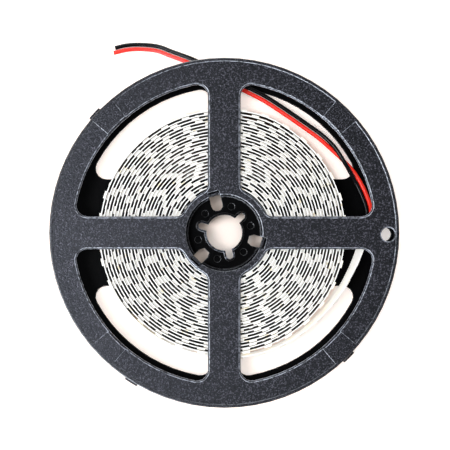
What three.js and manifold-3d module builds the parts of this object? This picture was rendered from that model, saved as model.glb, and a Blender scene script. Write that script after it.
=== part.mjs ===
// A reel of led strip light, lying flat: two moulded reel halves that snap together at
// the hub, about 4.8 m of 8 mm strip wound between them, and a red and black pair of
// leads soldered to the strip's free end. Millimetres, +Z up, the reel's axis on Z and
// the surface that it lies on at z = 0.

import * as THREE from "three";
import { mergeVertices } from "three/addons/utils/BufferGeometryUtils.js";
import Module from "manifold-3d";

const wasm = await Module();
wasm.setup();

// Flanges
const flangeRadius = 64;
const flangeWall = 1.6;
const windingGap = 8.8;
const flangeEdge = 0.3;
const lipWidth = 1.2;
const panelDepth = 0.25;
const panelOverlap = 5.1;
const diagonalBandAngle = 9.4;

// Windows of the two flanges
const frontRimWidth = 8.9;
const backRimWidth = 9.7;
const windowOuterFillet = 4;
const windowInnerFillet = 3.3;
const windowChamfer = 0.8;
const frontSpokeWidth = 12;
const backSpokeWidth = 10;
const labelBandWidth = 40;

// Hub: a drum with a sunk floor on each side, whose wall holds the latches
const recessRadius = 13.4;
const recessChamfer = 1;
const hubRingWidth = 0.9;
const floorWall = 1.5;
const partingGap = 0.3;

// Spindle bore with three keyways and a raised collar
const boreRadius = 6.6;
const keyWidth = 2.4;
const keyReach = 10;
const keyAngle = 43.5;
const collarWidth = 0.7;
const collarHeight = 0.6;

// Snap latches: tongues of the back half in slots of the front half
const latchAngle = 105;
const roundWindowReach = 8.3;
const taperedWindowReach = 9.2;
const taperLength = 1.6;
const taperedEndWidth = 2.4;
const tongueInset = 0.6;
const tongueWall = 0.7;
const tongueRelief = 0.2;
const tongueWidth = 3.6;
const latchLedgeDepth = 2.8;
const barbReach = 0.55;
const barbHeight = 1.6;
const latchClearance = 0.3;
const latchSkin = 0.25;

// Ejector marks on the hub floor
const markRadius = 1.3;
const markCircleRadius = 10;
const markAngle = 15;
const markDepth = 0.2;

// Hole that the strip's end can be pegged to, and three small tabs on the back rim
const pegHoleRadius = 2.5;
const pegHoleInset = 4.1;
const pegHoleAngle = -0.6;
const pegHoleChamfer = 0.5;
const tabReach = 2.4;
const tabAngles = [137.5, 238, 315];
const tabWidthAngle = 4.6;

// Led strip
const stripWidth = 8;
const stripThickness = 0.4;
const ledHeight = 0.79;
const ledLength = 2.8;
const ledWidth = 3.5;
const ledPitch = 25 / 3;
const ledSeat = 0.15;
const rollClearance = 0.3;
const rollTurns = 24.5;
const rollLean = 0.45;
const leavingAngle = 262;

// How far the leds of each turn lie past an even pitch, from the innermost turn outwards:
// the turns slip on each other as they are wound, until their leds lie staggered.
const turnSlips = [
  4.9, 4.9, 4.4, 6.4, 6.6, 7.7, 1.9, 3.7, 4.8, 7.9, 1.5, 3.2, 7, 0.5, 1.2, 4.4, 4.8, 0.7, 0.7,
  3.7, 3.4, 5.9, 5.1, 6, 3.7,
];
const ledGapLeast = 1.5;

// Free end of the strip, from where it leaves the roll to its solder pads
const tailAngle = 96;
const tailSpring = 1.1;
const tailSpringAngle = 18;
const tailSwing = 5.6;
const padLength = 4;

// Leads
const wireDiameter = 1.4;
const wireSpacing = 1.7;
const padSpacing = 3.8;
const leadStagger = 0.9;
const wireSides = 8;
const wireStep = 4;
const solderRadius = 1.1;
const solderHeight = 0.9;
const solderClearance = 0.25;

// Facets
const flangeSides = 72;
const hubSides = 40;
const smallSides = 12;
const rollSag = 0.11;

// Sizes that follow from the ones above
const reelWidth = windingGap + 2 * flangeWall;
const halfDepth = (reelWidth - partingGap) / 2;
const floorDepth = halfDepth - floorWall;
const tongueInnerRadius = recessRadius + tongueInset;
const tongueOuterRadius = tongueInnerRadius + tongueWall;
const slotReach = tongueOuterRadius + latchClearance;
const pocketReach = slotReach + barbReach;
const latchWindowWidth = tongueWidth + 2 * latchClearance;
const drumRadius = pocketReach + latchSkin;
const windowInnerRadius = drumRadius + hubRingWidth;
const frontWindowRadius = flangeRadius - frontRimWidth;
const backWindowRadius = flangeRadius - backRimWidth;
const panelRadius = flangeRadius - lipWidth;
const panelCentreRadius = frontWindowRadius - panelOverlap;
const pegHoleCentreRadius = flangeRadius - pegHoleInset;
const turnPitch = stripThickness + ledHeight;
const rollInnerRadius = drumRadius + rollClearance;
const rollAngle = 2 * Math.PI * rollTurns;
const startAngle = THREE.MathUtils.degToRad(leavingAngle) - rollAngle;
const endAngle = rollAngle + THREE.MathUtils.degToRad(tailAngle);
const stripCentreHeight = reelWidth / 2;

// Colours and finishes
const reelPlastic = new THREE.MeshStandardMaterial({
  color: 0x2b2b30,
  roughness: 0.55,
  metalness: 0,
});
const stripWhite = new THREE.MeshStandardMaterial({
  color: 0xf2efe6,
  roughness: 0.5,
  metalness: 0,
});
const redSheath = new THREE.MeshStandardMaterial({
  color: 0xc01008,
  roughness: 0.4,
  metalness: 0,
});
const blackSheath = new THREE.MeshStandardMaterial({
  color: 0x24262a,
  roughness: 0.4,
  metalness: 0,
});
const solder = new THREE.MeshStandardMaterial({
  color: 0xc8c8c8,
  roughness: 0.25,
  metalness: 1,
});

// Points along an arc, both ends included.
function arc(x, y, radius, fromDegrees, toDegrees, stepDegrees) {
  const sweep = toDegrees - fromDegrees;
  const count = Math.max(1, Math.round(Math.abs(sweep) / stepDegrees));
  return Array.from({ length: count + 1 }, (_, i) => {
    const angle = THREE.MathUtils.degToRad(fromDegrees + (sweep * i) / count);
    return new THREE.Vector2(x + radius * Math.cos(angle), y + radius * Math.sin(angle));
  });
}

function degreesOf(x, y) {
  return THREE.MathUtils.radToDeg(Math.atan2(y, x));
}

function turnedPoints(points, degrees) {
  const angle = THREE.MathUtils.degToRad(degrees);
  const centre = new THREE.Vector2();
  return points.map((point) => point.clone().rotateAround(centre, angle));
}

// A closed geometry as a solid that can be joined and cut.
function solidOf(geometry) {
  const bare = new THREE.BufferGeometry();
  bare.setAttribute("position", geometry.getAttribute("position"));
  if (geometry.index) bare.setIndex(geometry.index);
  const merged = mergeVertices(bare, 1e-4);
  const corners = merged.index.array;
  const kept = [];
  for (let i = 0; i < corners.length; i += 3) {
    const [a, b, c] = corners.slice(i, i + 3);
    if (a !== b && b !== c && c !== a) kept.push(a, b, c);
  }
  return new wasm.Manifold(
    new wasm.Mesh({
      numProp: 3,
      vertProperties: merged.attributes.position.array,
      triVerts: new Uint32Array(kept),
    }),
  );
}

function namedMesh(name, solid, material) {
  const made = solid.getMesh();
  const geometry = new THREE.BufferGeometry();
  geometry.setAttribute("position", new THREE.BufferAttribute(made.vertProperties, 3));
  geometry.setIndex(new THREE.BufferAttribute(made.triVerts, 1));
  const faceted = geometry.toNonIndexed();
  faceted.computeVertexNormals();
  const mesh = new THREE.Mesh(faceted, material);
  mesh.name = name;
  return mesh;
}

function prism(points, bottom, top) {
  const shape = new THREE.Shape(points);
  const geometry = new THREE.ExtrudeGeometry(shape, {
    depth: top - bottom,
    bevelEnabled: false,
  });
  return solidOf(geometry.translate(0, 0, bottom));
}

// A cutter that chamfers the edge of an outline in the face at z = 0.
function flare(points, size) {
  const shape = new THREE.Shape(points);
  const geometry = new THREE.ExtrudeGeometry(shape, {
    depth: size,
    bevelThickness: size,
    bevelSize: size,
    bevelSegments: 1,
  });
  return solidOf(geometry);
}

// A solid of revolution about Z from [radius, height] pairs, bottom to top.
function revolved(profile, sides) {
  const points = profile.map(([radius, height]) => new THREE.Vector2(radius, height));
  const geometry = new THREE.LatheGeometry(points, sides);
  return solidOf(geometry.rotateX(Math.PI / 2));
}

function joined(solids) {
  return solids.reduce((all, solid) => all.add(solid));
}

// Front window, in the first quadrant: between two spokes, the hub ring and the rim.
function frontWindow() {
  const half = frontSpokeWidth / 2;
  const outer = windowOuterFillet;
  const inner = windowInnerFillet;
  const outerX = Math.sqrt((frontWindowRadius - outer) ** 2 - (half + outer) ** 2);
  const innerX = Math.sqrt((windowInnerRadius + inner) ** 2 - (half + inner) ** 2);
  const outerDegrees = degreesOf(outerX, half + outer);
  const innerDegrees = degreesOf(innerX, half + inner);
  return [
    ...arc(outerX, half + outer, outer, -90, outerDegrees, 22),
    ...arc(0, 0, frontWindowRadius, outerDegrees, 90 - outerDegrees, 5).slice(1),
    ...arc(half + outer, outerX, outer, 90 - outerDegrees, 180, 22).slice(1),
    ...arc(half + inner, innerX, inner, 180, 270 - innerDegrees, 22),
    ...arc(0, 0, windowInnerRadius, 90 - innerDegrees, innerDegrees, 8).slice(1),
    ...arc(innerX, half + inner, inner, 180 + innerDegrees, 270, 22).slice(1),
  ];
}

// Back window, in the first quadrant: between the wide label band, a spoke and the rim.
function backWindow() {
  const left = backSpokeWidth / 2;
  const low = labelBandWidth / 2;
  const fillet = windowOuterFillet;
  const reach = backWindowRadius - fillet;
  const lowX = Math.sqrt(reach ** 2 - (low + fillet) ** 2);
  const leftY = Math.sqrt(reach ** 2 - (left + fillet) ** 2);
  const lowDegrees = degreesOf(lowX, low + fillet);
  const leftDegrees = degreesOf(left + fillet, leftY);
  return [
    ...arc(lowX, low + fillet, fillet, -90, lowDegrees, 22),
    ...arc(0, 0, backWindowRadius, lowDegrees, leftDegrees, 5).slice(1),
    ...arc(left + fillet, leftY, fillet, leftDegrees, 180, 22).slice(1),
    ...arc(left + fillet, low + fillet, fillet, 180, 270, 22),
  ];
}

function mirroredX(points) {
  return points.map((point) => new THREE.Vector2(-point.x, point.y));
}

function mirroredY(points) {
  return points.map((point) => new THREE.Vector2(point.x, -point.y));
}

// An opening right through a flange, with a chamfer in the face at z = 0.
function chamferedCut(points, chamfer) {
  const through = prism(points, -2 * flangeWall, flangeWall);
  return through.add(flare(points, chamfer));
}

// Sunk panels: the spokes and the rim between the flush bands at the diagonals.
function panelCut() {
  const half = 45 - diagonalBandAngle / 2;
  const outline = [0, 90, 180, 270].flatMap((middle) => [
    ...arc(0, 0, panelRadius, middle - half, middle + half, 5),
    ...arc(0, 0, panelCentreRadius, middle + half, middle + 90 - half, 5),
  ]);
  return prism(outline, -panelDepth, panelDepth);
}

// The spindle bore with its keyways, widened all round by a margin.
function spindleOutline(margin, bottom, top, firstKeyDegrees) {
  const radius = boreRadius + margin;
  const half = keyWidth / 2 + margin;
  const tipCentre = keyReach - keyWidth / 2;
  const round = prism(arc(0, 0, radius, 0, 350, 10), bottom, top);
  const keyway = [new THREE.Vector2(0, -half), ...arc(tipCentre, 0, half, -90, 90, 30)];
  keyway.push(new THREE.Vector2(0, half));
  const keys = [0, 120, 240].map((turn) =>
    prism(turnedPoints(keyway, firstKeyDegrees + turn), bottom, top),
  );
  return joined([round, ...keys]);
}

// Outline of a latch window that points outwards along +X from its inner end.
function latchOutline(innerRadius, outerRadius, roundEnd) {
  const half = latchWindowWidth / 2;
  const outerEnd = [new THREE.Vector2(outerRadius, -half), new THREE.Vector2(outerRadius, half)];
  if (roundEnd) {
    return [...outerEnd, ...arc(innerRadius + half, 0, half, 90, 270, 30)];
  }
  const taperEnd = innerRadius + taperLength;
  const endHalf = taperedEndWidth / 2;
  return [
    ...outerEnd,
    new THREE.Vector2(taperEnd, half),
    new THREE.Vector2(innerRadius, endHalf),
    new THREE.Vector2(innerRadius, -endHalf),
    new THREE.Vector2(taperEnd, -half),
  ];
}

// Latches in turn: the first window is round at its inner end, the others taper.
function latchOutlines(outerRadius, firstDegrees, step) {
  return [0, 1, 2].map((index) => {
    const roundEnd = index === 0;
    const reach = roundEnd ? roundWindowReach : taperedWindowReach;
    const outline = latchOutline(reach, outerRadius, roundEnd);
    return turnedPoints(outline, firstDegrees + step * index);
  });
}

// One reel half with its outer face at z = 0 and its drum below. sense is 1 for the
// half seen from its front, and -1 for the one that is turned over, whose angles are
// counted the other way round.
function reelHalf(windows, sense) {
  const edge = flangeEdge;
  const flange = revolved(
    [
      [0, -flangeWall],
      [flangeRadius - edge, -flangeWall],
      [flangeRadius, edge - flangeWall],
      [flangeRadius, -edge],
      [flangeRadius - edge, 0],
      [0, 0],
    ],
    flangeSides,
  );
  const drum = revolved(
    [
      [0, -halfDepth],
      [drumRadius, -halfDepth],
      [drumRadius, -flangeWall / 2],
      [0, -flangeWall / 2],
    ],
    hubSides,
  );
  const recess = revolved(
    [
      [0, -floorDepth],
      [recessRadius, -floorDepth],
      [recessRadius, -recessChamfer],
      [recessRadius + recessChamfer, 0],
      [recessRadius + recessChamfer, recessChamfer],
      [0, recessChamfer],
    ],
    hubSides,
  );
  const keyDegrees = sense * keyAngle;
  const collarTop = collarHeight - floorDepth;
  const collar = spindleOutline(collarWidth, -floorDepth - floorWall / 2, collarTop, keyDegrees);
  const bore = spindleOutline(0, -2 * halfDepth, halfDepth, keyDegrees);
  const marks = [0, 60, 120, 180, 240, 300].map((turn) => {
    const disc = arc(markCircleRadius, 0, markRadius, 0, 330, 30);
    const place = sense * (markAngle + turn);
    return prism(turnedPoints(disc, place), -floorDepth - markDepth, -floorDepth + markDepth);
  });
  const pegDisc = arc(pegHoleCentreRadius, 0, pegHoleRadius, 0, 345, 15);
  const pegHole = chamferedCut(turnedPoints(pegDisc, sense * pegHoleAngle), pegHoleChamfer);
  return flange
    .add(drum)
    .subtract(recess)
    .add(collar)
    .subtract(bore)
    .subtract(joined(marks))
    .subtract(pegHole)
    .subtract(joined(windows.map((points) => chamferedCut(points, windowChamfer))))
    .subtract(panelCut());
}

// Front half: four equal windows, and slots for the tongues of the back half. The wall
// left below each slot's deeper upper part is the ledge that the barb hooks over.
function frontHalf() {
  const windows = [0, 90, 180, 270].map((turn) => turnedPoints(frontWindow(), turn));
  const slots = latchOutlines(slotReach, latchAngle, 120);
  const half = latchWindowWidth / 2;
  const pocket = [
    new THREE.Vector2(tongueInnerRadius, -half),
    new THREE.Vector2(pocketReach, -half),
    new THREE.Vector2(pocketReach, half),
    new THREE.Vector2(tongueInnerRadius, half),
  ];
  const pockets = [0, 120, 240].map((turn) =>
    prism(turnedPoints(pocket, latchAngle + turn), -latchLedgeDepth, halfDepth),
  );
  return reelHalf(windows, 1)
    .subtract(joined(slots.map((outline) => prism(outline, -2 * halfDepth, halfDepth))))
    .subtract(joined(pockets));
}

// A tongue that rises from the hub wall to a barb, pointing down from the turned half.
function tongue() {
  const root = -floorDepth - floorWall / 2;
  const barbFoot = latchLedgeDepth - latchClearance - reelWidth;
  const barbTop = barbFoot - barbHeight;
  const side = new THREE.Shape([
    new THREE.Vector2(tongueInnerRadius, root),
    new THREE.Vector2(tongueInnerRadius, barbTop),
    new THREE.Vector2(tongueOuterRadius, barbTop),
    new THREE.Vector2(tongueOuterRadius + barbReach, barbFoot - barbHeight / 3),
    new THREE.Vector2(tongueOuterRadius + barbReach, barbFoot),
    new THREE.Vector2(tongueOuterRadius, barbFoot),
    new THREE.Vector2(tongueOuterRadius, root),
  ]);
  const geometry = new THREE.ExtrudeGeometry(side, { depth: tongueWidth, bevelEnabled: false });
  geometry.translate(0, 0, -tongueWidth / 2);
  return geometry.rotateX(Math.PI / 2);
}

// Back half, built face up like the front one and turned over as it is placed.
function backHalf() {
  const quarter = backWindow();
  const below = mirroredY(quarter);
  const windows = [quarter, mirroredX(quarter), below, mirroredX(below)];
  const openings = latchOutlines(tongueInnerRadius + tongueRelief, -latchAngle, -120);
  const tongues = [0, 1, 2].map((index) => {
    const angle = THREE.MathUtils.degToRad(-latchAngle - 120 * index);
    return solidOf(tongue().rotateZ(angle));
  });
  const tabs = tabAngles.map((middle) => {
    const half = tabWidthAngle / 2;
    const outside = arc(0, 0, flangeRadius + tabReach, -middle - half, -middle + half, 2);
    const inside = arc(0, 0, panelRadius, -middle + half, -middle - half, 2);
    return prism([...outside, ...inside], flangeEdge - flangeWall, -flangeEdge);
  });
  return reelHalf(windows, -1)
    .subtract(joined(openings.map((outline) => prism(outline, -2 * halfDepth, halfDepth))))
    .add(joined(tongues))
    .add(joined(tabs));
}

// The strip's inner face at an angle counted from its inner end: an even spiral that
// leans a little to one side, and past the roll a free end that swings outwards.
function stripRadius(angle) {
  const onRoll = Math.min(angle, rollAngle);
  const lean = -rollLean * (onRoll / rollAngle) * Math.cos(startAngle + angle);
  const past = THREE.MathUtils.radToDeg(angle - onRoll);
  const spring = tailSpring * (1 - Math.exp(-past / tailSpringAngle));
  const swing = tailSwing * (past / tailAngle) ** 4;
  return rollInnerRadius + (turnPitch * onRoll) / (2 * Math.PI) + lean + spring + swing;
}

function stripPoint(angle, offset) {
  const radius = stripRadius(angle) + offset;
  const direction = startAngle + angle;
  return new THREE.Vector2(radius * Math.cos(direction), radius * Math.sin(direction));
}

// Angle after a stretch of strip that starts at an angle.
function along(angle, length) {
  return angle + length / (stripRadius(angle + length / (2 * stripRadius(angle))) + stripThickness);
}

// Number of the turn at an angle, counted from 0. Turns change over under the top spoke.
function turnAt(angle) {
  const turn = Math.floor((startAngle + angle) / (2 * Math.PI) - 0.25) + Math.floor(rollTurns);
  return Math.min(Math.max(turn, 0), turnSlips.length - 1);
}

// Where each led starts, from the inner end to the solder pads.
function ledStarts() {
  const last = endAngle - padLength / stripRadius(endAngle);
  const starts = [];
  for (let even = 0; even < last; even = along(even, ledPitch)) {
    const turn = turnAt(even);
    for (const near of [turn, turn + 1]) {
      const start = along(even, turnSlips[near] ?? 0);
      const free = starts.length === 0 || start > along(starts.at(-1), ledLength + ledGapLeast);
      if (turnAt(start) === near && free && along(start, ledLength) < last) starts.push(start);
    }
  }
  return starts;
}

// A face of the strip between two angles, from the first to the last.
function stripFace(from, to, offset) {
  const step = 2 * Math.sqrt((2 * rollSag) / stripRadius(Math.min(from, to)));
  const count = Math.max(1, Math.round(Math.abs(to - from) / step));
  return Array.from({ length: count + 1 }, (_, i) =>
    stripPoint(from + ((to - from) * i) / count, offset),
  );
}

// The gap that two leds leave between their turn and the next one out.
function gapOutline(from, to) {
  const count = Math.ceil(((to - from) * stripRadius(from)) / ledPitch);
  const step = (to - from) / count;
  const sag = (stripRadius(from) * (1 - Math.cos(step / 2))) / 2;
  const inner = [];
  const outer = [];
  for (let i = 0; i <= count; i += 1) {
    inner.push(stripPoint(from + step * i, stripThickness + sag));
    outer.push(stripPoint(to - step * i + 2 * Math.PI, sag));
  }
  return [...inner, ...outer];
}

// The roll and its free end in one solid: a disc of turns with a gap between each led
// and the next, and single leds on the turn that nothing covers.
function ledStrip() {
  const starts = ledStarts();
  const covered = starts.filter((start, i) => {
    const next = starts[i + 1];
    return next !== undefined && along(next, ledLength) < rollAngle - 2 * Math.PI;
  });
  const lastCovered = starts[covered.length];
  const crotch = along(lastCovered, ledLength);
  const outline = [
    ...stripFace(crotch, endAngle, stripThickness),
    ...stripFace(endAngle, crotch + 2 * Math.PI, 0),
  ];
  const shape = new THREE.Shape(outline);
  shape.holes.push(new THREE.Path(stripFace(0, 2 * Math.PI, 0)));
  covered.forEach((start, i) => {
    shape.holes.push(new THREE.Path(gapOutline(along(start, ledLength), starts[i + 1])));
  });
  const geometry = new THREE.ExtrudeGeometry(shape, { depth: stripWidth, bevelEnabled: false });
  geometry.translate(0, 0, stripCentreHeight - stripWidth / 2);
  const leds = starts.slice(covered.length + 1).map((start) => {
    const middle = along(start, ledLength / 2);
    const direction = startAngle + middle;
    const radius = stripRadius(middle) + stripThickness + (ledHeight - ledSeat) / 2;
    const box = new THREE.BoxGeometry(ledHeight + ledSeat, ledLength, ledWidth);
    box.translate(radius, 0, 0).rotateZ(direction).translate(0, 0, stripCentreHeight);
    return solidOf(box);
  });
  return solidOf(geometry).add(joined(leds));
}

// Route of the pair of leads, from the solder pads to the cut ends: direction seen from
// the reel's axis, distance from it, height, roll of the pair (0 when the red lead lies
// outside the black one, 90 when it lies above) and distance between the two leads.
const pads = padSpacing;
const pair = wireSpacing;
const leadRoute = [
  [357.9, 53.0, 6.0, 90, pads],
  [1.2, 53.4, 5.8, 80, 2.8],
  [5.0, 54.0, 5.0, 50, 2.0],
  [9.5, 54.4, 4.1, 20, pair],
  [15.0, 53.9, 3.3, 0, pair],
  [21.0, 53.2, 2.9, -15, pair],
  [26.5, 52.5, 3.2, -50, pair],
  [32.0, 51.8, 3.5, -90, pair],
  [38.0, 51.3, 3.3, -140, pair],
  [45.0, 50.7, 3.0, -175, pair],
  [52.0, 50.1, 2.9, -180, pair],
  [60.0, 50.2, 2.9, -180, pair],
  [67.0, 51.0, 2.9, -180, pair],
  [73.5, 52.3, 2.9, -180, pair],
  [80.0, 53.8, 2.9, -180, pair],
  [85.5, 55.6, 2.8, -180, pair],
  [91.0, 58.2, 2.8, -180, pair],
  [96.0, 61.3, 2.8, -180, pair],
  [100.1, 64.6, 2.8, -180, pair],
  [103.5, 67.2, 2.5, -180, pair],
  [106.8, 70.1, 1.7, -180, pair],
  [110.0, 73.4, 1.0, -180, pair],
  [114.1, 76.3, 0.9, -180, pair],
  [117.7, 78.4, 0.9, -180, pair],
  [121.1, 79.8, 0.9, -180, pair],
];

// The route of one lead: side is 1 for the red one and -1 for the black one.
function leadCurve(side) {
  const centres = leadRoute.map(([degrees, distance, height]) => {
    const angle = THREE.MathUtils.degToRad(degrees);
    return new THREE.Vector3(distance * Math.cos(angle), distance * Math.sin(angle), height);
  });
  const up = new THREE.Vector3(0, 0, 1);
  const points = centres.map((centre, i) => {
    const before = centres[Math.max(i - 1, 0)];
    const after = centres[Math.min(i + 1, centres.length - 1)];
    const forward = after.clone().sub(before).setZ(0).normalize();
    const outward = new THREE.Vector3().crossVectors(forward, up);
    const [, , , roll, spacing] = leadRoute[i];
    const angle = THREE.MathUtils.degToRad(roll);
    return centre
      .clone()
      .addScaledVector(outward, (side * spacing * Math.cos(angle)) / 2)
      .addScaledVector(up, (side * spacing * Math.sin(angle)) / 2);
  });
  const [neighbour, end] = points.slice(-2);
  end.addScaledVector(end.clone().sub(neighbour).normalize(), (side * leadStagger) / 2);
  return new THREE.CatmullRomCurve3(points);
}

function lead(side) {
  const curve = leadCurve(side);
  const section = new THREE.Shape(arc(0, 0, wireDiameter / 2, 0, 360 - 360 / wireSides, 45));
  const geometry = new THREE.ExtrudeGeometry(section, {
    steps: Math.round(curve.getLength() / wireStep),
    extrudePath: curve,
  });
  return solidOf(geometry);
}

// Solder joints on the strip's last pads, domes on its outer face
const padAngle = endAngle - (padLength / 2 - 0.3) / stripRadius(endAngle);
const solderDome = revolved(
  [
    [0, 0],
    [solderRadius, 0],
    [solderRadius * 0.75, solderHeight * 0.7],
    [0, solderHeight],
  ],
  smallSides,
);

function solderJoint(name, side) {
  const mesh = namedMesh(name, solderDome, solder);
  const foot = stripPoint(padAngle, stripThickness + solderClearance);
  mesh.position.set(foot.x, foot.y, stripCentreHeight + (side * padSpacing) / 2);
  mesh.rotation.set(0, Math.PI / 2, startAngle + padAngle, "ZYX");
  return mesh;
}

const reel = new THREE.Group();
const front = namedMesh("front_reel_half", frontHalf(), reelPlastic);
front.position.z = reelWidth;
const back = namedMesh("back_reel_half", backHalf(), reelPlastic);
back.rotation.x = Math.PI;
reel.add(front, back);
reel.add(namedMesh("led_strip", ledStrip(), stripWhite));
reel.add(solderJoint("red_solder_joint", 1), solderJoint("black_solder_joint", -1));
reel.add(namedMesh("red_lead", lead(1), redSheath));
reel.add(namedMesh("black_lead", lead(-1), blackSheath));

export default reel;
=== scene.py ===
# %% [markdown]
# # A reel of led strip light
#
# The object lies flat on a pale table: two black plastic mouldings that snap together at
# the hub, a white led strip wound between them, and a red and a black lead soldered to
# the strip's free end. The solid model is loaded first. It fixes every size, so whatever
# is made here goes where that model says, in metres, with the reel's axis on Z.

# %% Load the solid model
import math

import bmesh
import bpy
from mathutils import Matrix, Vector
from mathutils.kdtree import KDTree


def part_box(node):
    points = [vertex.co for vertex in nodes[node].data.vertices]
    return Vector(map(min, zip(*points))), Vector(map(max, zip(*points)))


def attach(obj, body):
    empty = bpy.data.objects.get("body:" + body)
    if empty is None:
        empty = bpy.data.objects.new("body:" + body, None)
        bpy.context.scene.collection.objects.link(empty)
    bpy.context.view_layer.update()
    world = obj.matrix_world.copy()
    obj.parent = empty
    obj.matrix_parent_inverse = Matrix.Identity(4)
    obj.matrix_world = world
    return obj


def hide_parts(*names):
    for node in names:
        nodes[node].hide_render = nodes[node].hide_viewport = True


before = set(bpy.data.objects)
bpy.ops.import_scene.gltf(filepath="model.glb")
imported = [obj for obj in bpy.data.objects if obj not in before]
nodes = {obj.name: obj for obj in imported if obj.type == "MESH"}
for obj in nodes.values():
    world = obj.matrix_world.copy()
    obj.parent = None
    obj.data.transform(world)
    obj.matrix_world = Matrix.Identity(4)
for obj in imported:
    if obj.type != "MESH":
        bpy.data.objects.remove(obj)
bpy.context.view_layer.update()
MM = 0.001
print("nodes:", ", ".join(sorted(nodes)))

# %% [markdown]
# ## Small helpers
#
# Blender's operators act on whatever is selected, and a fresh import leaves everything
# selected. These helpers clear that, pick one object, and run steps in edit mode. Faces
# are chosen in code, by where they are or which way they face, as a mouse would pick them.


# %% Selecting and editing
def pick(*objects):
    """Selects these objects only, with the first one active."""
    bpy.ops.object.select_all(action="DESELECT")
    for obj in objects:
        obj.select_set(True)
    bpy.context.view_layer.objects.active = objects[0]


def edit_faces(obj, chosen):
    """Enters edit mode with the faces selected for which chosen(face) is true."""
    pick(obj)
    bpy.ops.object.mode_set(mode="EDIT")
    bpy.ops.mesh.select_mode(type="FACE")
    bpy.ops.mesh.select_all(action="DESELECT")
    shape = bmesh.from_edit_mesh(obj.data)
    count = 0
    for face in shape.faces:
        if chosen(face):
            face.select_set(True)
            count += 1
    bmesh.update_edit_mesh(obj.data)
    return count


def leave_edit():
    bpy.ops.object.mode_set(mode="OBJECT")


def settle(obj):
    """Writes an object's place, turn and size into its mesh."""
    pick(obj)
    bpy.ops.object.transform_apply(location=True, rotation=True, scale=True)


def named(name, material=None):
    """Names the active object and its mesh, and gives it its first material."""
    obj = bpy.context.active_object
    obj.name = name
    obj.data.name = name
    if material:
        obj.data.materials.append(material)
    return obj


def apply_modifiers(obj):
    pick(obj)
    for modifier in list(obj.modifiers):
        bpy.ops.object.modifier_apply(modifier=modifier.name)


bpy.ops.object.select_all(action="DESELECT")

# %% [markdown]
# ## The camera
#
# The photograph was taken from straight above, from about 40 cm, with the reel a little
# below the middle of a square picture 164 mm wide at the reel's front face.

# %% Camera
PICTURE = 450
MM_PER_PIXEL = 0.365
REEL_CENTRE = (224.3, 232.8)
CAMERA_DISTANCE = 0.400
reel_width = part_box("front_reel_half")[1].z

camera_x = (PICTURE / 2 - REEL_CENTRE[0]) * MM_PER_PIXEL * MM
camera_y = (REEL_CENTRE[1] - PICTURE / 2) * MM_PER_PIXEL * MM
bpy.ops.object.camera_add(location=(camera_x, camera_y, reel_width + CAMERA_DISTANCE))
camera = bpy.context.active_object
camera.name = "camera"
camera.rotation_euler = (0, 0, 0)
camera.data.sensor_width = 36
camera.data.angle = 2 * math.atan(PICTURE / 2 * MM_PER_PIXEL * MM / CAMERA_DISTANCE)
camera.data.clip_start = 0.01
camera.data.clip_end = 20
bpy.context.scene.camera = camera
print("camera lens:", round(camera.data.lens, 1), "mm")

# %% [markdown]
# ## Writing a finish as sums
#
# A surface is easier to read as arithmetic than as a web of nodes. This class wraps one
# output of a node, so that `1 - mask` or `a * b + c` adds the Math nodes by itself, and
# `Finish` makes the shader and any other node.


# %% Node arithmetic
class Value:
    """One number output in a node tree, with + - * / and comparisons."""

    def __init__(self, finish, socket):
        self.finish = finish
        self.socket = socket

    def _maths(self, operation, first, second):
        node = self.finish.node("ShaderNodeMath", {"operation": operation}, {0: first, 1: second})
        return Value(self.finish, node.outputs[0])

    def __add__(self, other):
        return self._maths("ADD", self, other)

    def __radd__(self, other):
        return self._maths("ADD", other, self)

    def __sub__(self, other):
        return self._maths("SUBTRACT", self, other)

    def __rsub__(self, other):
        return self._maths("SUBTRACT", other, self)

    def __mul__(self, other):
        return self._maths("MULTIPLY", self, other)

    def __rmul__(self, other):
        return self._maths("MULTIPLY", other, self)

    def __truediv__(self, other):
        return self._maths("DIVIDE", self, other)

    def __lt__(self, other):
        return self._maths("LESS_THAN", self, other)

    def __mod__(self, other):
        return self._maths("FLOORED_MODULO", self, other)

    def size(self):
        return self._maths("ABSOLUTE", self, 0)


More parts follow.
